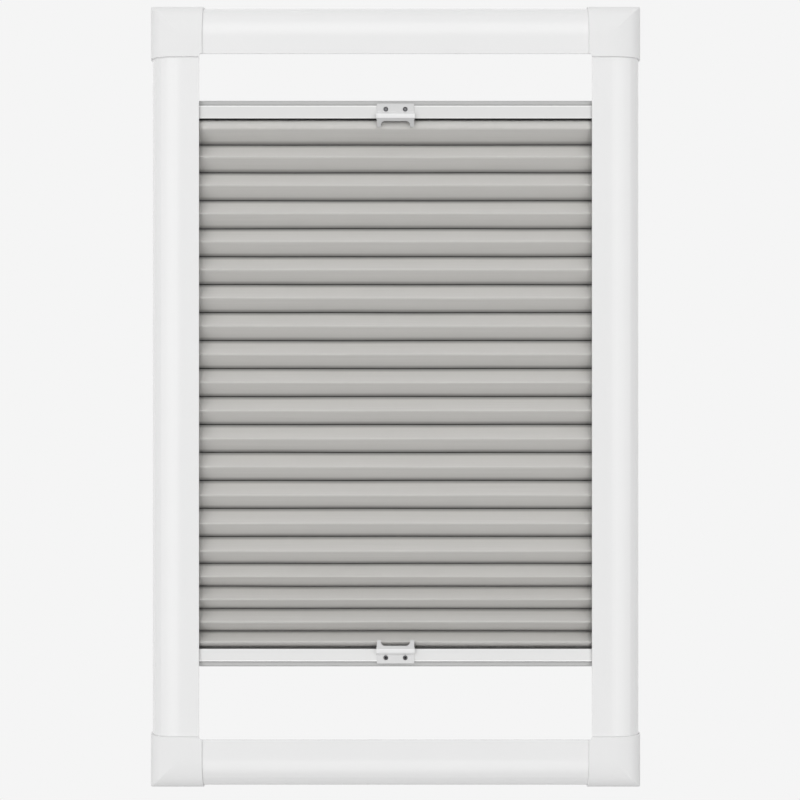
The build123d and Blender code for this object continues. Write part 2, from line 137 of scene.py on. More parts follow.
def rounded_zigzag(at):
    """The zigzag at those distances down the sheet, with every fold rounded.

    Each fold adds half the change of direction times (the root of distance squared plus
    radius squared, less the distance). Far from the fold that is nothing, and at the fold it
    is a small round bend.
    """
    straight = np.stack([np.interp(at, arc, zigzag[:, k]) for k in (0, 1)], axis=1)
    direction = steps / lengths[:, None]
    change = np.diff(direction, axis=0) / 2
    away = np.abs(at[:, None] - arc[None, 1:-1])
    reach = np.sqrt(away**2 + FOLD_RADIUS**2) - away
    return straight + reach @ change


def panel_bow(at_segment, at_share):
    """How far each row bulges towards the room, as y and z.

    A parabola over the panel, four times share times the rest, along the panel's normal: its
    direction down the sheet, turned a quarter. The half panels next to the rails bulge
    more, because they turn forward as soon as they leave their slots.
    """
    direction = steps[at_segment] / lengths[at_segment][:, None]
    normal = direction[:, ::-1] * (1, -1)
    bow = np.full(len(lengths), PANEL_BOW)
    bow[1] = TOP_BOW
    bow[-2] = BOTTOM_BOW
    bow[[0, -1]] = 0
    return normal * (bow[at_segment] * 4 * at_share * (1 - at_share))[:, None]


side_line = rounded_zigzag(along) + panel_bow(segment, share)
print("side line from y", side_line[:, 0].min().round(5), "to", side_line[:, 0].max().round(5))

# %% [markdown]
# ## Small unevenness
# Perfectly straight folds look like printed lines. On real cloth each fold wanders a tenth of
# a millimetre, in slow waves. A few sine waves with a seeded random phase do that, and the
# seed makes it the same wander each time the script runs. The ends in the slots stay still.

# %% Let each fold wander a little
SEED = 20
WANDER = 0.00013
WAVES = 4
LEAST_SWING = 0.3
HALF_WAVES = 1.7

chance = np.random.default_rng(SEED)
cloth_low, cloth_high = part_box("pleated_fabric")
cloth_width = cloth_high.x - cloth_low.x
across = np.linspace(cloth_low.x, cloth_high.x, COLUMNS)
order = np.arange(1, WAVES + 1)[:, None]
draws = (2, len(zigzag), WAVES, 1)
phase = chance.uniform(0, 2 * pi, draws)
swing = chance.uniform(LEAST_SWING, 1.0, draws) / order
waves = swing * np.sin(order * HALF_WAVES * pi * across / cloth_width + phase)
wander = WANDER * waves.sum(axis=2)
wander[:, :FIRST_FRONT_FOLD] = 0
wander[:, -FIRST_FRONT_FOLD:] = 0
part_way = share[:, None]
wander_rows = wander[:, segment] * (1 - part_way) + wander[:, segment + 1] * part_way
print("largest wander:", round(float(np.abs(wander_rows).max()) * 1000, 3), "mm")

# %% [markdown]
# ## From arrays to a mesh
# Vertices, faces and the two numbers that unfold the cloth onto a flat map go in as whole
# arrays. The map counts metres across and panels down, with zero at the first front fold, so
# a material can find every fold line with one remainder.

# %% Meshes from arrays
def grid_faces(rows, columns):
    """The quads of a grid of rows by columns points, numbered row by row."""
    corner = np.arange(rows * columns).reshape(rows, columns)
    quads = [corner[:-1, :-1], corner[1:, :-1], corner[1:, 1:], corner[:-1, 1:]]
    return np.stack(quads, axis=-1).reshape(-1, 4)


def new_piece(name, points, faces, flat_map=None):
    """A smooth mesh object with its place in its own vertices.

    The flat map, if there is one, has a row for each vertex, which each corner of a face takes.
    """
    mesh = bpy.data.meshes.new(name)
    mesh.from_pydata(points, [], faces)
    if flat_map is not None:
        layer = mesh.uv_layers.new(name="flat_map")
        corner_vertex = np.empty(len(mesh.loops), int)
        mesh.loops.foreach_get("vertex_index", corner_vertex)
        layer.data.foreach_set("uv", flat_map[corner_vertex].ravel())
    mesh.polygons.foreach_set("use_smooth", np.ones(len(mesh.polygons), bool))
    mesh.update()
    piece = bpy.data.objects.new(name, mesh)
    bpy.context.scene.collection.objects.link(piece)
    return piece


print("faces of a grid of 3 by 4 points:", len(grid_faces(3, 4)))

# %% Fill in the pleated cloth
rows = len(along)
cloth_points = np.empty((rows, COLUMNS, 3))
cloth_points[..., 0] = across
cloth_points[..., 1] = side_line[:, :1] + wander_rows[0]
cloth_points[..., 2] = side_line[:, 1:] + wander_rows[1]
fold_count = np.arange(len(zigzag)) - float(FIRST_FRONT_FOLD)
for end, inward in ((0, 1), (len(zigzag) - 1, -1)):
    front_fold = end + FIRST_FRONT_FOLD * inward
    for fold in (end, end + inward):
        fold_count[fold] = fold_count[front_fold] + (arc[fold] - arc[front_fold]) / panel
cloth_map = np.empty((rows, COLUMNS, 2))
cloth_map[..., 0] = across - cloth_low.x
cloth_map[..., 1] = np.interp(along, arc, fold_count)[:, None]
cloth = new_piece(
    "folded_cloth",
    cloth_points.reshape(-1, 3),
    grid_faces(rows, COLUMNS),
    cloth_map.reshape(-1, 2),
)
print("cloth faces:", len(cloth.data.polygons))

# %% [markdown]
# ## Pleats that follow both rails
# When a rail slides, its end of the cloth goes with it, the pleats in between close, and every
# panel keeps its length, so the pleats get deeper. Bones or hooks could carry the ends, but
# they would shorten the panels. A small geometry node tree does it right: it reads where the
# two rail bodies are and works out the new height and the new depth of each point.

# %% Note on each point where it sits between the rails
drop_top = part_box("top_rail")[0].z
drop_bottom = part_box("bottom_rail")[1].z
drop = drop_top - drop_bottom
cloth_middle = (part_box("top_rail")[0].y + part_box("top_rail")[1].y) / 2
fold_reach = np.abs(zigzag[:, 0] - cloth_middle)
fold_reach[:FIRST_FRONT_FOLD] = fold_reach[FIRST_FRONT_FOLD]
fold_reach[-FIRST_FRONT_FOLD:] = fold_reach[-1 - FIRST_FRONT_FOLD]
fold_rise = np.sqrt(panel**2 - (2 * fold_reach) ** 2)
rise_rows = np.interp(along, arc, fold_rise)


def note(piece, name, values):
    """Keeps one number for each point of the piece, under that name."""
    piece.data.attributes.new(name, "FLOAT", "POINT").data.foreach_set("value", values)


note(cloth, "down_the_drop", np.clip((drop_top - cloth_points[..., 2]) / drop, 0, 1).ravel())
note(cloth, "panel_rise", np.repeat(rise_rows, COLUMNS))
open_rise = float(np.median(fold_rise))
print("drop:", round(drop, 4), "m, usual rise of a panel:", round(open_rise, 5), "m")

# %% The node helpers
def add(tree, kind, inputs=None, **settings):
    """Adds a node with those settings. An input is a value, or a socket that gets linked."""
    node = tree.nodes.new(kind)
    for key, value in settings.items():
        setattr(node, key, value)
    for key, value in (inputs or {}).items():
        if isinstance(value, bpy.types.NodeSocket):
            tree.links.new(value, node.inputs[key])
        else:
            node.inputs[key].default_value = value
    return node


def sums(tree):
    """A short way to write sums in a node tree: work("ADD", a, b) gives the result's socket."""

    def work(operation, *values):
        return add(tree, "ShaderNodeMath", dict(enumerate(values)), operation=operation).outputs[0]

    return work


def new_group(name, kind, inputs, outputs):
    """A node group with those named sockets, and its input and output nodes."""
    group = bpy.data.node_groups.new(name, kind)
    for in_out, sockets in (("INPUT", inputs), ("OUTPUT", outputs)):
        for socket, socket_kind in sockets.items():
            group.interface.new_socket(socket, in_out=in_out, socket_type=socket_kind)
    return group, group.nodes.new("NodeGroupInput"), group.nodes.new("NodeGroupOutput")


print("node helpers:", add.__name__, sums.__name__, new_group.__name__)

# %% Pleats that follow the rails
def follow_rails(piece, upper, lower):
    """Moves each point of the cloth with the two rail bodies.

    Height: the upper body's shift times the share above, plus the lower one's times the share
    below. Depth: the old depth times the root of (panel squared less new rise squared) over
    (panel squared less old rise squared), where the new rise is the old one times the drop's
    change.
    """
    shape = "NodeSocketGeometry"
    tree, given, result = new_group(
        "pleats_follow_rails", "GeometryNodeTree", {"Geometry": shape}, {"Geometry": shape}
    )
    work = sums(tree)
    shifts = []
    for body in (upper, lower):
        info = add(tree, "GeometryNodeObjectInfo", {"Object": frame["bodies"][body]})
        split = add(tree, "ShaderNodeSeparateXYZ", {"Vector": info.outputs["Location"]})
        shifts.append(split.outputs["Z"])
    numbers = []
    for name in ("down_the_drop", "panel_rise"):
        reader = add(tree, "GeometryNodeInputNamedAttribute", {"Name": name}, data_type="FLOAT")
        numbers.append(reader.outputs["Attribute"])
    down, rise = numbers
    place = add(tree, "GeometryNodeInputPosition")
    parts = add(tree, "ShaderNodeSeparateXYZ", {"Vector": place.outputs["Position"]})
    slack = work("SUBTRACT", shifts[1], shifts[0])
    lift = work("MULTIPLY_ADD", down, slack, shifts[0])
    change = work("SUBTRACT", 1.0, work("DIVIDE", slack, drop))
    new_rise = work("MULTIPLY", rise, change)
    new_depth = work("SUBTRACT", panel**2, work("MULTIPLY", new_rise, new_rise))
    old_depth = work("SUBTRACT", panel**2, work("MULTIPLY", rise, rise))
    deeper = work("SQRT", work("DIVIDE", new_depth, old_depth))
    depth = work("SUBTRACT", parts.outputs["Y"], cloth_middle)
    place_y = work("MULTIPLY_ADD", depth, deeper, cloth_middle)
    place_z = work("ADD", parts.outputs["Z"], lift)
    joined = add(
        tree, "ShaderNodeCombineXYZ", {"X": parts.outputs["X"], "Y": place_y, "Z": place_z}
    )
    moved = add(
        tree,
        "GeometryNodeSetPosition",
        {"Geometry": given.outputs["Geometry"], "Position": joined.outputs["Vector"]},
    )
    tree.links.new(moved.outputs["Geometry"], result.inputs["Geometry"])
    piece.modifiers.new("pleats_follow_rails", "NODES").node_group = tree


follow_rails(cloth, "top_rail_body", "bottom_rail_body")
print("cloth modifiers:", [m.name for m in cloth.modifiers])

# %% [markdown]
# ## A front and a back
# The cloth is a third of a millimetre thick. A solidify modifier gives the sheet its thickness
# after the pleats have moved, half to each side. It also gives the side towards the window the
# next material, because a fold that is a valley with painted shade from the room is a ridge with
# a painted highlight from there.

# %% Give the cloth its thickness
CLOTH_THICKNESS = 0.00036
wall = cloth.modifiers.new("cloth_thickness", "SOLIDIFY")
wall.thickness = CLOTH_THICKNESS
wall.offset = 0
wall.material_offset = 1
print("thickness:", wall.thickness)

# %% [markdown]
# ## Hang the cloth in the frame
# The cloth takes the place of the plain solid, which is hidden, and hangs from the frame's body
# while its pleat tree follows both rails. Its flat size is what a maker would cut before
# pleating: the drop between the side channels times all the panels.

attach(cloth, "frame")
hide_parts("pleated_fabric")
print("flat cloth:", round(cloth_width, 3), "by", round(float(arc[-1]), 3), "m")

# %% [markdown]
# ## Shared effects
# Powder coat, moulded plastic and steel all have a fine grain and a slow mottling of tone.
# Both come from noise, and a shader node group keeps them in one place, so each finish only
# says how large and how strong its own grain is.

# %% The grain group
VALUE, VECTOR = "NodeSocketFloat", "NodeSocketVector"
FINE_NOISE = {"Detail": 2.0, "Roughness": 0.55}
SLOW_NOISE = {"Scale": 14.0, "Detail": 3.0, "Roughness": 0.6}


def make_grain():
    """Height is fine noise at the given size. Tone is slow noise around one."""
    tree, given, result = new_group(
        "grain",
        "ShaderNodeTree",
        {"Place": VECTOR, "Size": VALUE, "Mottle": VALUE},
        {"Height": VALUE, "Tone": VALUE},
    )
    work = sums(tree)
    scale = work("DIVIDE", 1.0, given.outputs["Size"])
    place = given.outputs["Place"]
    fine = add(tree, "ShaderNodeTexNoise", {"Vector": place, "Scale": scale, **FINE_NOISE})
    slow = add(tree, "ShaderNodeTexNoise", {"Vector": place, **SLOW_NOISE})
    centred = work("SUBTRACT", slow.outputs[0], 0.5)
    tone = work("MULTIPLY_ADD", centred, given.outputs["Mottle"], 1.0)
    tree.links.new(fine.outputs[0], result.inputs["Height"])
    tree.links.new(tone, result.inputs["Tone"])
    return tree


grain = make_grain()
print("group:", grain.name, [s.name for s in grain.interface.items_tree])

# %% [markdown]
# ## The weave group
# Pleated cloth is a fine plain weave. One thread goes over where its neighbour goes under, so
# the height of a warp thread is a rounded back times a wave that flips from thread to thread,
# and the weft does the opposite. The higher of the two is what shows.

# %% The weave group
STREAKS_ACROSS, STREAKS_DOWN = 9.0, 1400.0


def make_weave():
    """Height of a plain weave and a tone that varies from one weft thread to the next.

    Flat is metres across and metres down the sheet, Pitch the spacing of the threads. The tone
    is noise stretched across the sheet: so many streaks for each metre across and down.
    """
    tree, given, result = new_group(
        "plain_weave",
        "ShaderNodeTree",
        {"Flat": VECTOR, "Pitch": VALUE, "Slub": VALUE},
        {"Height": VALUE, "Tone": VALUE},
    )
    work = sums(tree)
    flat = add(tree, "ShaderNodeSeparateXYZ", {"Vector": given.outputs["Flat"]})
    warp = work("DIVIDE", flat.outputs["X"], given.outputs["Pitch"])
    weft = work("DIVIDE", flat.outputs["Y"], given.outputs["Pitch"])
    flip = work("MULTIPLY", work("FLOOR", warp), pi)
    wave = work("SINE", work("MULTIPLY_ADD", weft, pi, flip))
    warp_back = work("ABSOLUTE", work("SINE", work("MULTIPLY", warp, pi)))
    weft_back = work("ABSOLUTE", work("SINE", work("MULTIPLY", weft, pi)))
    over = work("MULTIPLY_ADD", wave, 0.5, 0.5)
    warp_height = work("MULTIPLY", warp_back, over)
    weft_height = work("MULTIPLY", weft_back, work("SUBTRACT", 1.0, over))
    height = work("MAXIMUM", warp_height, weft_height)
    streak_x = work("MULTIPLY", flat.outputs["X"], STREAKS_ACROSS)
    streak_y = work("MULTIPLY", flat.outputs["Y"], STREAKS_DOWN)
    stretched = add(tree, "ShaderNodeCombineXYZ", {"X": streak_x, "Y": streak_y, "Z": 0.0})
    noise = {"Vector": stretched.outputs[0], "Scale": 1.0, "Detail": 2.0}
    streak = add(tree, "ShaderNodeTexNoise", noise)
    centred = work("SUBTRACT", streak.outputs[0], 0.5)
    tone = work("MULTIPLY_ADD", centred, given.outputs["Slub"], 1.0)
    tree.links.new(height, result.inputs["Height"])
    tree.links.new(tone, result.inputs["Tone"])
    return tree


weave = make_weave()
print("group:", weave.name, "nodes:", len(weave.nodes))

# %% [markdown]
# ## One way to make a finish
# Every finish is a Principled shader. A number that is the same all over goes straight onto the
# shader's own socket, and only what changes over the surface comes from nodes. These helpers
# keep each finish down to its own numbers.

# %% Material helpers
def new_finish(name, **constants):
    """A material with one Principled shader, whose plain numbers are set on its own sockets."""
    finish = bpy.data.materials.new(name)
    finish.use_nodes = True
    tree = finish.node_tree
    shader = tree.nodes["Principled BSDF"]
    for key, value in constants.items():
        shader.inputs[key.replace("_", " ")].default_value = value
    return finish, tree, shader


def tinted(tree, colour, tone):
    """A colour times a tone that changes over the surface."""
    scaled = add(tree, "ShaderNodeVectorMath", {0: colour, "Scale": tone}, operation="SCALE")
    return scaled.outputs[0]


def bumped(tree, height, distance):
    """A normal that follows the height, whose full step is that many metres."""
    bump = add(tree, "ShaderNodeBump", {"Height": height, "Distance": distance, "Strength": 1.0})
    return bump.outputs["Normal"]


def eased(tree, value, start, end, low=0.0, high=1.0):
    """Goes smoothly from low, where the value is start, to high, where it is end."""
    sizes = {"Value": value, "From Min": start, "From Max": end, "To Min": low, "To Max": high}
    return add(tree, "ShaderNodeMapRange", sizes, interpolation_type="SMOOTHSTEP").outputs[0]


def length_of(tree, vector):
    """The length of a vector: the root of its parts squared and added."""
    return add(tree, "ShaderNodeVectorMath", {0: vector}, operation="LENGTH").outputs["Value"]


print("finish helpers:", new_finish.__name__, tinted.__name__, bumped.__name__, eased.__name__)

# %% Grained finishes
def grained_finish(name, colour, grain_size, grain_depth, mottle, rough, spread, **constants):
    """A coated, moulded or metal finish: a tinted colour, a fine grain and uneven gloss.

    The roughness goes from half a spread under rough to half a spread over it with the grain.
    """
    finish, tree, shader = new_finish(name, **constants)
    place = add(tree, "ShaderNodeTexCoord").outputs["Object"]
    skin = add(tree, "ShaderNodeGroup", node_tree=grain)
    tree.links.new(place, skin.inputs["Place"])
    skin.inputs["Size"].default_value = grain_size
    skin.inputs["Mottle"].default_value = mottle
    height = skin.outputs["Height"]
    tree.links.new(tinted(tree, colour, skin.outputs["Tone"]), shader.inputs["Base Color"])
    uneven = sums(tree)("MULTIPLY_ADD", height, spread, rough - spread / 2)
    tree.links.new(uneven, shader.inputs["Roughness"])
    tree.links.new(bumped(tree, height, grain_depth), shader.inputs["Normal"])
    return finish


def retone(finish, tone):
    """Multiplies the colour that a finish already has by one more tone."""
    tree = finish.node_tree
    base = tree.nodes["Principled BSDF"].inputs["Base Color"]
    tree.links.new(tinted(tree, base.links[0].from_socket, tone), base)


def dress(names, finish):
    """Puts a finish on frame nodes, in place of their plain colour."""
    for name in names:
        for slot in nodes[name].material_slots:
            slot.material = finish
    print(finish.name, "on", len(names), "nodes")


print("grained finishes use the group:", grain.name)

# %% [markdown]
# ## The cloth's finish
# The threads are a warm light grey. Each back fold is pressed, and a sharp dark line of painted
# shade marks where the two panels meet, with softer painted shade spreading from it. Each front
# fold has a faint painted highlight. The panels that face downwards get painted shade, a slightly
# darker tone. An image could hold all this, but nodes stay sharp at any distance. The flat map
# says how far every point is from its nearest folds: a ping-pong over the panels is 0 at a front
# fold and 1 at a back fold.

# %% The numbers of the cloth's finish
CLOTH_COLOUR = (0.645, 0.634, 0.611)
CLOTH_GLOSS = {"Roughness": 0.86, "Specular_IOR_Level": 0.25}
CLOTH_SHEEN = {"Sheen_Weight": 0.12, "Sheen_Roughness": 0.5}
THREAD_PITCH = 0.00052
THREAD_DEPTH = 0.00008
SLUB = 0.13
THREAD_LOW_TONE, THREAD_TONE_RISE = 0.9, 0.16
# Each smooth step: where it starts and ends, in panels, and the tones before and after it.
# Painted shade: a sharp dark line at each valley fold, and a softer shade spreading from it.
CREASE_SHADE = (0.028, 0.056, 0.03, 1.0)
VALLEY_SHADE = (0.06, 0.31, 0.5, 1.0)
# Painted highlight along each ridge fold.
RIDGE_HIGHLIGHT = (0.0, 0.06, 1.015, 1.0)
# Painted shade on the panels that face downwards, deeper towards the valley fold.
UNDERSIDE_SHADE_START = (0.0, 0.15, 1.0, 0.92)
UNDERSIDE_SHADE_END = (0.3, 0.95, 1.0, 0.88)
print("threads per centimetre:", round(0.01 / THREAD_PITCH, 1))

# %% Make the cloth finish
def make_cloth_finish(name, valleys):
    """Woven grey cloth: painted shade in its valleys and on its downward panels, a painted
    highlight on its ridges.

    The valleys are the "back" folds on the side towards the room, and the "front" folds on
    the side towards the window. The tone is a product of smooth steps over the distance from
    the folds, counted in panels, and of the threads' own tone.
    """
    finish, tree, shader = new_finish(name, **CLOTH_GLOSS, **CLOTH_SHEEN)
    work = sums(tree)
    uv = add(tree, "ShaderNodeUVMap", uv_map="flat_map").outputs["UV"]
    parts = add(tree, "ShaderNodeSeparateXYZ", {"Vector": uv})
    panels_down = parts.outputs["Y"]
    metres_down = work("MULTIPLY", panels_down, panel)
    flat = add(tree, "ShaderNodeCombineXYZ", {"X": parts.outputs["X"], "Y": metres_down})
    threads = add(tree, "ShaderNodeGroup", node_tree=weave)
    tree.links.new(flat.outputs[0], threads.inputs["Flat"])
    threads.inputs["Pitch"].default_value = THREAD_PITCH
    threads.inputs["Slub"].default_value = SLUB
    height = threads.outputs["Height"]
    from_ridge = work("PINGPONG", panels_down, 1.0)
    from_valley = work("SUBTRACT", 1.0, from_ridge)
    if valleys == "front":
        from_ridge, from_valley = from_valley, from_ridge
    cycle = work("WRAP", panels_down, 2.0, 0.0)
    under = work("MULTIPLY", cycle, work("LESS_THAN", cycle, 1.0))
    # Painted shade at the valleys and on the downward panels, and a painted highlight at the
    # ridges.
    tone = eased(tree, from_valley, *CREASE_SHADE)
    for factor in (
        eased(tree, from_valley, *VALLEY_SHADE),
        eased(tree, from_ridge, *RIDGE_HIGHLIGHT),
        eased(tree, under, *UNDERSIDE_SHADE_START),
        eased(tree, under, *UNDERSIDE_SHADE_END),
        threads.outputs["Tone"],
        work("MULTIPLY_ADD", height, THREAD_TONE_RISE, THREAD_LOW_TONE),
    ):
        tone = work("MULTIPLY", tone, factor)
    tree.links.new(tinted(tree, CLOTH_COLOUR, tone), shader.inputs["Base Color"])
    tree.links.new(bumped(tree, height, THREAD_DEPTH), shader.inputs["Normal"])
    return finish


cloth.data.materials.append(make_cloth_finish("pleated_grey_cloth", "back"))
cloth.data.materials.append(make_cloth_finish("pleated_grey_cloth_reverse", "front"))
print("cloth finishes:", [finish.name for finish in cloth.data.materials])

# %% [markdown]
# ## White coats and mouldings
# The aluminium is powder coated: satin, with a faint orange peel. The corner covers are
# moulded with a spark-eroded texture and a slightly different white. One plain white would
# make them look like a single casting, so each gets its own grain and its own gloss.

# %% Make the white finishes
SIDES = ("left", "right")
LEVELS = ("top", "bottom")
CORNERS = [f"{level}_{side}" for level in LEVELS for side in SIDES]
frame_coat = grained_finish(
    "powder_coat",
    colour=(0.84, 0.84, 0.84),
    grain_size=0.0011,
    grain_depth=0.000012,
    mottle=0.03,
    rough=0.22,
    spread=0.06,
    Specular_IOR_Level=0.9,
)
cover_finish = grained_finish(
    "moulded_cover",
    colour=(0.83, 0.83, 0.83),
    grain_size=0.0005,
    grain_depth=0.00001,
    mottle=0.02,
    rough=0.55,
    spread=0.1,
    Specular_IOR_Level=0.4,
)
dress([f"{side}_profile" for side in LEVELS + SIDES], frame_coat)
dress([f"{corner}_corner_cover" for corner in CORNERS], cover_finish)

# %% [markdown]
# ## The rails' coat
# A rail has the same kind of coat as the frame, but three things change its tone from edge to
# edge: a dark line of painted shadow where the cloth leaves the slot, fine lines of painted
# highlight and painted shade along the edges of the front face, and a darker band on the front
# of the step beyond it. Each is at a fixed distance from the edge next to the cloth, so one
# distance drives them all, and both rails share the code. The upper rail's coat is painted a
# little darker than the lower one's, as painted shade.

# %% Distance from the cloth
def over_rail(tree, level):
    """How far a point lies from the edge of that rail next to the cloth, and its x, y, z."""
    low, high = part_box(f"{level}_rail")
    place = add(tree, "ShaderNodeTexCoord").outputs["Object"]
    parts = add(tree, "ShaderNodeSeparateXYZ", {"Vector": place})
    work = sums(tree)
    if level == "top":
        return work("SUBTRACT", parts.outputs["Z"], low.z), parts
    return work("SUBTRACT", high.z, parts.outputs["Z"]), parts


rail_low, rail_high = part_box("top_rail")
rail_height = rail_high.z - rail_low.z
print("rail height:", round(rail_height, 4), "m")

# %% The rail finish
RAIL_FACE = 0.0119
FACE_MARGIN = 0.00005
STEP_FRONT = -0.0025
STEP_TONE = 0.66
RAIL_GRAIN = {"grain_size": 0.0011, "grain_depth": 0.00001, "mottle": 0.03}
RAIL_GLOSS = {"rough": 0.3, "spread": 0.08}
# Each line: its distance from the cloth, half its width, and its tone. The two lighter lines are
# painted highlights on the edges of the face, and the two darker ones are painted shade just
# beyond the face and at the step's far edge.
EDGE_HIGHLIGHTS_AND_SHADE = (
    (0.0011, 0.0005, 1.1),
    (RAIL_FACE - 0.0007, 0.0006, 1.2),
    (RAIL_FACE + 0.0009, 0.0005, 0.8),
    (rail_height - 0.0007, 0.00085, 0.5),
)


def make_rail_finish(level, colour, gap_shadow_width, gap_shadow_tone):
    """The rail's coat, a painted shadow line next to the cloth, and a darker band on the far step.

    Where a point is nearer to a line than half the line's width, its colour is multiplied by
    the line's tone.
    """
    finish = grained_finish(f"{level}_rail_coat", colour, **RAIL_GRAIN, **RAIL_GLOSS)
    tree = finish.node_tree
    work = sums(tree)
    from_cloth, parts = over_rail(tree, level)
    beyond = work("GREATER_THAN", from_cloth, RAIL_FACE + FACE_MARGIN)
    front = work("LESS_THAN", parts.outputs["Y"], STEP_FRONT)
    tone = work("MULTIPLY_ADD", work("MULTIPLY", beyond, front), STEP_TONE - 1, 1.0)
    # The first line is painted shadow in the gap where the cloth leaves the slot.
    for middle, half, strength in ((0.0, gap_shadow_width, gap_shadow_tone), *EDGE_HIGHLIGHTS_AND_SHADE):
        near = work("COMPARE", from_cloth, middle, half)
        tone = work("MULTIPLY", tone, work("MULTIPLY_ADD", near, strength - 1, 1.0))
    retone(finish, tone)
    return finish


# The upper rail's coat is painted a little darker than the lower one's, as painted shade.
dress(["top_rail"], make_rail_finish("top", (0.745, 0.745, 0.74), 0.00015, 0.06))
dress(["bottom_rail"], make_rail_finish("bottom", (0.8, 0.8, 0.795), 0.0006, 0.2))

# %% [markdown]
# ## The finger grips
# A grip is a bent plate of the same moulded white. Its crest has a painted highlight, and its
# flat back plate and the horns that fingers pull on have painted shade, most on the upper grip.
# So the tone is set by the height over the rail's cloth edge: horns, crest, plate.

# %% The grips' finish
CREST_START, CREST_END, TONE_STEP = -0.0006, 0.0056, 0.0005
GRIP_COLOUR = (0.78, 0.78, 0.78)
GRIP_GRAIN = {"grain_size": 0.0008, "grain_depth": 0.000004, "mottle": 0.02}
GRIP_GLOSS = {"rough": 0.2, "spread": 0.05}


def make_grip_finish(level, horns, crest, plate):
    """White moulding whose tone steps from the painted shade of the horns to the painted highlight
    of the crest and on to the plate's painted shade.
    """
    finish = grained_finish(f"{level}_grip_white", GRIP_COLOUR, **GRIP_GRAIN, **GRIP_GLOSS)
    tree = finish.node_tree
    work = sums(tree)
    from_cloth = over_rail(tree, level)[0]
    tone = horns
    for start, before, after in ((CREST_START, horns, crest), (CREST_END, crest, plate)):
        share_over = eased(tree, from_cloth, start, start + TONE_STEP)
        tone = work("MULTIPLY_ADD", share_over, after - before, tone)
    retone(finish, tone)
    return finish


# The upper grip's horns and plate carry deeper painted shade than the lower grip's.
dress(["top_grip"], make_grip_finish("top", 0.66, 1.09, 0.86))
dress(["bottom_grip"], make_grip_finish("bottom", 0.8, 1.07, 0.95))

# %% [markdown]
# ## The grip screws
# The screws are dark steel. The upper two catch some light in their sockets, and the sockets
# of the lower two are in shade, almost black. The heads are only four millimetres wide, so this
# one difference in the middle of each head is enough. The frame gives the box of both screws
# together, and the two axes follow from it.

# %% The grip screws' finish
SOCKET_RADIUS, SOCKET_RIM = 0.0006, 0.0013
SCREW_COLOUR = (0.13, 0.13, 0.135)
SCREW_GRAIN = {"grain_size": 0.0003, "grain_depth": 0.000006, "mottle": 0.15}
SCREW_GLOSS = {"rough": 0.4, "spread": 0.15, "Metallic": 1.0}


def make_screw_finish(level, socket_tone):
    """Dark steel, with another tone in the socket of each head.

    The two heads sit side by side, so the distance from the nearer axis is the length of
    (the distance from the middle, less half the spacing, and the height above the axis).
    """
    finish = grained_finish(f"{level}_screw_steel", SCREW_COLOUR, **SCREW_GRAIN, **SCREW_GLOSS)
    tree = finish.node_tree
    work = sums(tree)
    low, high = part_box(f"{level}_grip_screws")
    head_radius = (high.z - low.z) / 2
    place = add(tree, "ShaderNodeTexCoord").outputs["Object"]
    parts = add(tree, "ShaderNodeSeparateXYZ", {"Vector": place})
    side = work("ABSOLUTE", work("SUBTRACT", parts.outputs["X"], (low.x + high.x) / 2))
    side = work("SUBTRACT", side, (high.x - low.x) / 2 - head_radius)
    up = work("SUBTRACT", parts.outputs["Z"], (low.z + high.z) / 2)
    around = add(tree, "ShaderNodeCombineXYZ", {"X": side, "Y": 0.0, "Z": up})
    away = length_of(tree, around.outputs[0])
    outside = eased(tree, away, SOCKET_RADIUS, SOCKET_RIM)
    retone(finish, work("MULTIPLY_ADD", outside, 1 - socket_tone, socket_tone))
    return finish


# Painted highlight in the upper sockets, painted shade in the lower ones.
dress(["top_grip_screws"], make_screw_finish("top", 1.6))
dress(["bottom_grip_screws"], make_screw_finish("bottom", 0.1))

# %% [markdown]
# ## The working parts
# Keys, strips, shoes, springs, screws and tape are mostly hidden, but they show when the blind
# is taken apart or seen from behind. They share the grain and have no patterns of their own, so
# a table with one row of numbers for each finish is enough.

# %% Make the finishes of the working parts
# Each row: colour, grain size, grain depth, mottle, roughness, its spread, metallic.
WORKING_FINISHES = {
    "grey_nylon": ((0.42, 0.42, 0.43), 0.0006, 0.00001, 0.05, 0.5, 0.1, 0.0),
    "shoe_plastic": ((0.72, 0.72, 0.71), 0.0006, 0.00001, 0.04, 0.4, 0.1, 0.0),
    "zinc_steel": ((0.62, 0.63, 0.64), 0.0004, 0.000006, 0.1, 0.35, 0.2, 1.0),
    "spring_steel": ((0.5, 0.51, 0.53), 0.0004, 0.000004, 0.1, 0.3, 0.1, 1.0),
    "foam_tape": ((0.8, 0.8, 0.79), 0.0007, 0.00004, 0.05, 0.8, 0.1, 0.0),
}
working = {
    name: grained_finish(name, *row[:-1], Metallic=row[-1])
    for name, row in WORKING_FINISHES.items()
}
dress([f"{corner}_corner_key" for corner in CORNERS], working["grey_nylon"])
dress([f"{level}_fabric_strip" for level in LEVELS], working["grey_nylon"])
dress([f"{corner}_guide_shoe" for corner in CORNERS], working["shoe_plastic"])
dress([f"{corner}_brake_spring" for corner in CORNERS], working["spring_steel"])
dress(["corner_screws"], working["zinc_steel"])
dress([f"{side}_mounting_tape" for side in LEVELS + SIDES], working["foam_tape"])

# %% [markdown]
# ## The surroundings
# A white thing on a pale ground only reads by soft shade and by where its gloss shines. In a
# studio it stands before a pale backdrop, with soft boxes round the camera, and the light from
# them slides along the crowned profiles as one soft highlight. Lamps could do that, but a world
# shader does it with less noise: the camera sees one pale tone, and the surfaces see the glow,
# the backdrop and the soft boxes.

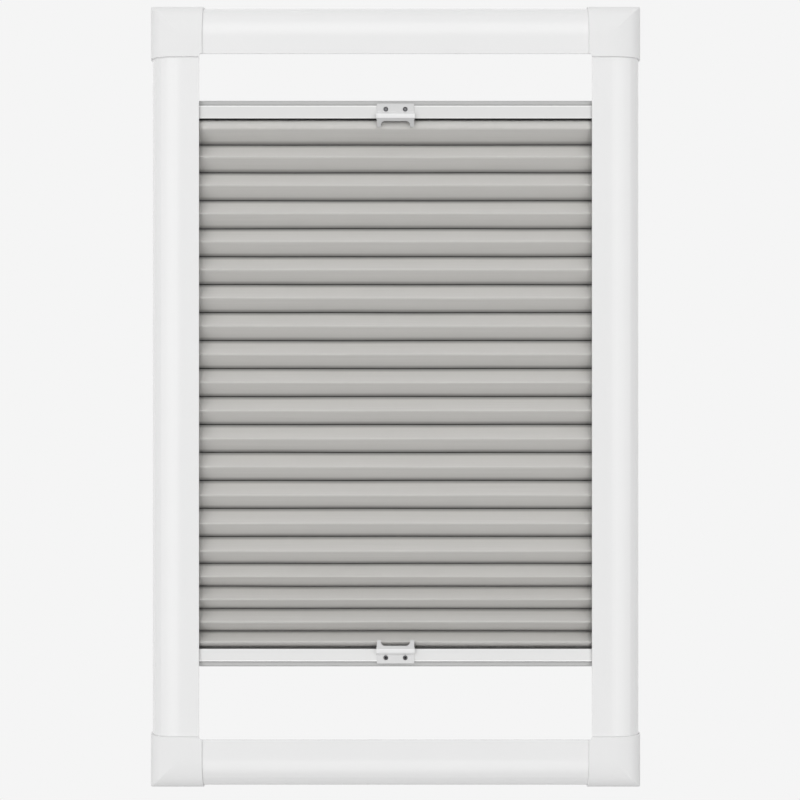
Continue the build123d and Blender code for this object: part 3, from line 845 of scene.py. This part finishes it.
# %% The surroundings
BACKGROUND = 0.913
GLOW = 0.495
GLOW_SWING = 0.2
TOWARDS_LIGHT = (-0.4, -0.1, 0.9)
BACKDROP_GLOW = 0.5
TOWARDS_BACKDROP = (0, 0.95, -0.3)
BACKDROP_START = -0.35
BACKDROP_END = 0.75
TOWARDS_FRONT = (0, -1, 0)
BOXES_GLOW = 1.14
BOXES_REACH = 0.74
BOXES_EDGE = 0.03
GAP_WIDTH = 0.19
GAP_HEIGHT = 0.275
GAP_EDGE = 0.02


def make_surroundings():
    """Light from a direction d, as a sum of three.

    All round: GLOW, plus GLOW_SWING times d dot the light's direction. The pale backdrop, behind
    and a little below: BACKDROP_GLOW times a smooth step over d dot the backdrop's direction. A
    wall of soft boxes in front: BOXES_GLOW where d dot the front's direction is over
    BOXES_REACH, but not in the gap, GAP_WIDTH and GAP_HEIGHT to each side of its middle.
    """
    world = bpy.data.worlds.new("soft_studio")
    bpy.context.scene.world = world
    world.use_nodes = True
    tree = world.node_tree
    tree.nodes.clear()
    work = sums(tree)
    towards = add(tree, "ShaderNodeTexCoord").outputs["Generated"]
    parts = add(tree, "ShaderNodeSeparateXYZ", {"Vector": towards})

    def facing(direction):
        pair = {0: towards, 1: direction}
        dot = add(tree, "ShaderNodeVectorMath", pair, operation="DOT_PRODUCT")
        return dot.outputs["Value"]

    def within(part, limit):
        return eased(tree, work("ABSOLUTE", part), limit + GAP_EDGE, limit - GAP_EDGE)

    glow = work("MULTIPLY_ADD", facing(TOWARDS_LIGHT), GLOW_SWING, GLOW)
    backdrop = eased(tree, facing(TOWARDS_BACKDROP), BACKDROP_START, BACKDROP_END)
    glow = work("MULTIPLY_ADD", backdrop, BACKDROP_GLOW, glow)
    facing_front = facing(TOWARDS_FRONT)
    boxes = eased(tree, facing_front, BOXES_REACH - BOXES_EDGE, BOXES_REACH + BOXES_EDGE)
    gap_across = within(parts.outputs["X"], GAP_WIDTH)
    gap_up = within(parts.outputs["Z"], GAP_HEIGHT)
    gap = work("MULTIPLY", gap_across, gap_up)
    boxes = work("MULTIPLY", boxes, work("SUBTRACT", 1.0, gap))
    seen = add(tree, "ShaderNodeLightPath").outputs["Is Camera Ray"]
    lit = work("MULTIPLY_ADD", boxes, BOXES_GLOW, glow)
    rest = work("MULTIPLY", work("SUBTRACT", 1.0, seen), lit)
    strength = work("MULTIPLY_ADD", seen, BACKGROUND, rest)
    shine = add(tree, "ShaderNodeBackground", {"Strength": strength})
    shine.inputs["Color"].default_value = (1, 1, 1, 1)
    result = add(tree, "ShaderNodeOutputWorld")
    tree.links.new(shine.outputs[0], result.inputs["Surface"])
    return world


print("world:", make_surroundings().name)

# %% [markdown]
# ## One lamp
# Light from all round leaves no direction at all. One large square lamp high on the left gives
# the covers and the grips a faint bright side, and its size keeps the shadows soft.

# %% The softbox
LAMP_PLACE = (-1.3, -1.5, 1.7)
LAMP_SIZE = 1.2
LAMP_WATTS = 2.4


def softbox(name, place, size, watts):
    """A square area light at that place, turned towards the middle of the blind."""
    light = bpy.data.lights.new(name, "AREA")
    light.energy = watts
    light.size = size
    lamp = bpy.data.objects.new(name, light)
    bpy.context.scene.collection.objects.link(lamp)
    lamp.location = place
    lamp.rotation_euler = (-lamp.location).to_track_quat("-Z", "Y").to_euler()
    return lamp


lamp = softbox("key_softbox", LAMP_PLACE, LAMP_SIZE, LAMP_WATTS)
print("lamp:", lamp.name, "at", LAMP_PLACE, "with", LAMP_WATTS, "W")

# %% [markdown]
# ## The floor
# The blind hangs on its sash well above the ground, so the floor is only seen from other
# sides. It fades out at a circle, so that no edge runs across those views.

# %% The floor
FLOOR_LEVEL = -0.62
FLOOR_RADIUS = 0.92
FADE_START, FADE_END = 0.45, 0.98
FLOOR_COLOUR = (0.88, 0.88, 0.88, 1)


def make_floor():
    """One square of floor, whose alpha goes from 1 to 0 between two shares of its radius."""
    corners = [(-1, -1), (1, -1), (1, 1), (-1, 1)]
    points = [(FLOOR_RADIUS * x, FLOOR_RADIUS * y, FLOOR_LEVEL) for x, y in corners]
    floor = new_piece("floor", points, [(0, 1, 2, 3)])
    finish, tree, shader = new_finish("pale_floor", Roughness=0.8)
    shader.inputs["Base Color"].default_value = FLOOR_COLOUR
    place = add(tree, "ShaderNodeTexCoord").outputs["Object"]
    flat = add(tree, "ShaderNodeVectorMath", {0: place, 1: (1, 1, 0)}, operation="MULTIPLY")
    away = length_of(tree, flat.outputs[0])
    fade = eased(tree, away, FLOOR_RADIUS * FADE_START, FLOOR_RADIUS * FADE_END, 1.0, 0.0)
    tree.links.new(fade, shader.inputs["Alpha"])
    floor.data.materials.append(finish)
    floor.visible_diffuse = False
    floor.visible_glossy = False
    return floor


print("floor:", make_floor().name)

# %% [markdown]
# ## The camera
# The camera looks straight at the blind from a little under a metre and a half, level and
# without a turn, so that the frame stays square. A long lens from far away would flatten the
# profiles, and a short one from near would show their inner sides. The Standard view keeps
# white as white.

# %% The camera
CAMERA_AWAY = 1.4
VIEW_WIDTH = 0.72
RIGHT_OF_BLIND = 0.00405
BELOW_BLIND = 0.00295
SENSOR = 36.0


def make_camera():
    """A level camera in front of the blind, a touch right of and below its middle.

    The focal length is the sensor's width times CAMERA_AWAY over VIEW_WIDTH, so the view is
    VIEW_WIDTH wide at the profiles' front.
    """
    camera = bpy.data.cameras.new("camera")
    camera.sensor_width = SENSOR
    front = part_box("left_profile")[0].y
    camera.lens = SENSOR * CAMERA_AWAY / VIEW_WIDTH
    eye = bpy.data.objects.new("camera", camera)
    bpy.context.scene.collection.objects.link(eye)
    eye.location = (RIGHT_OF_BLIND, front - CAMERA_AWAY, -BELOW_BLIND)
    eye.rotation_euler = (pi / 2, 0, 0)
    bpy.context.scene.camera = eye
    return camera


print("lens:", round(make_camera().lens, 2), "mm")
bpy.context.scene.view_settings.view_transform = "Standard"
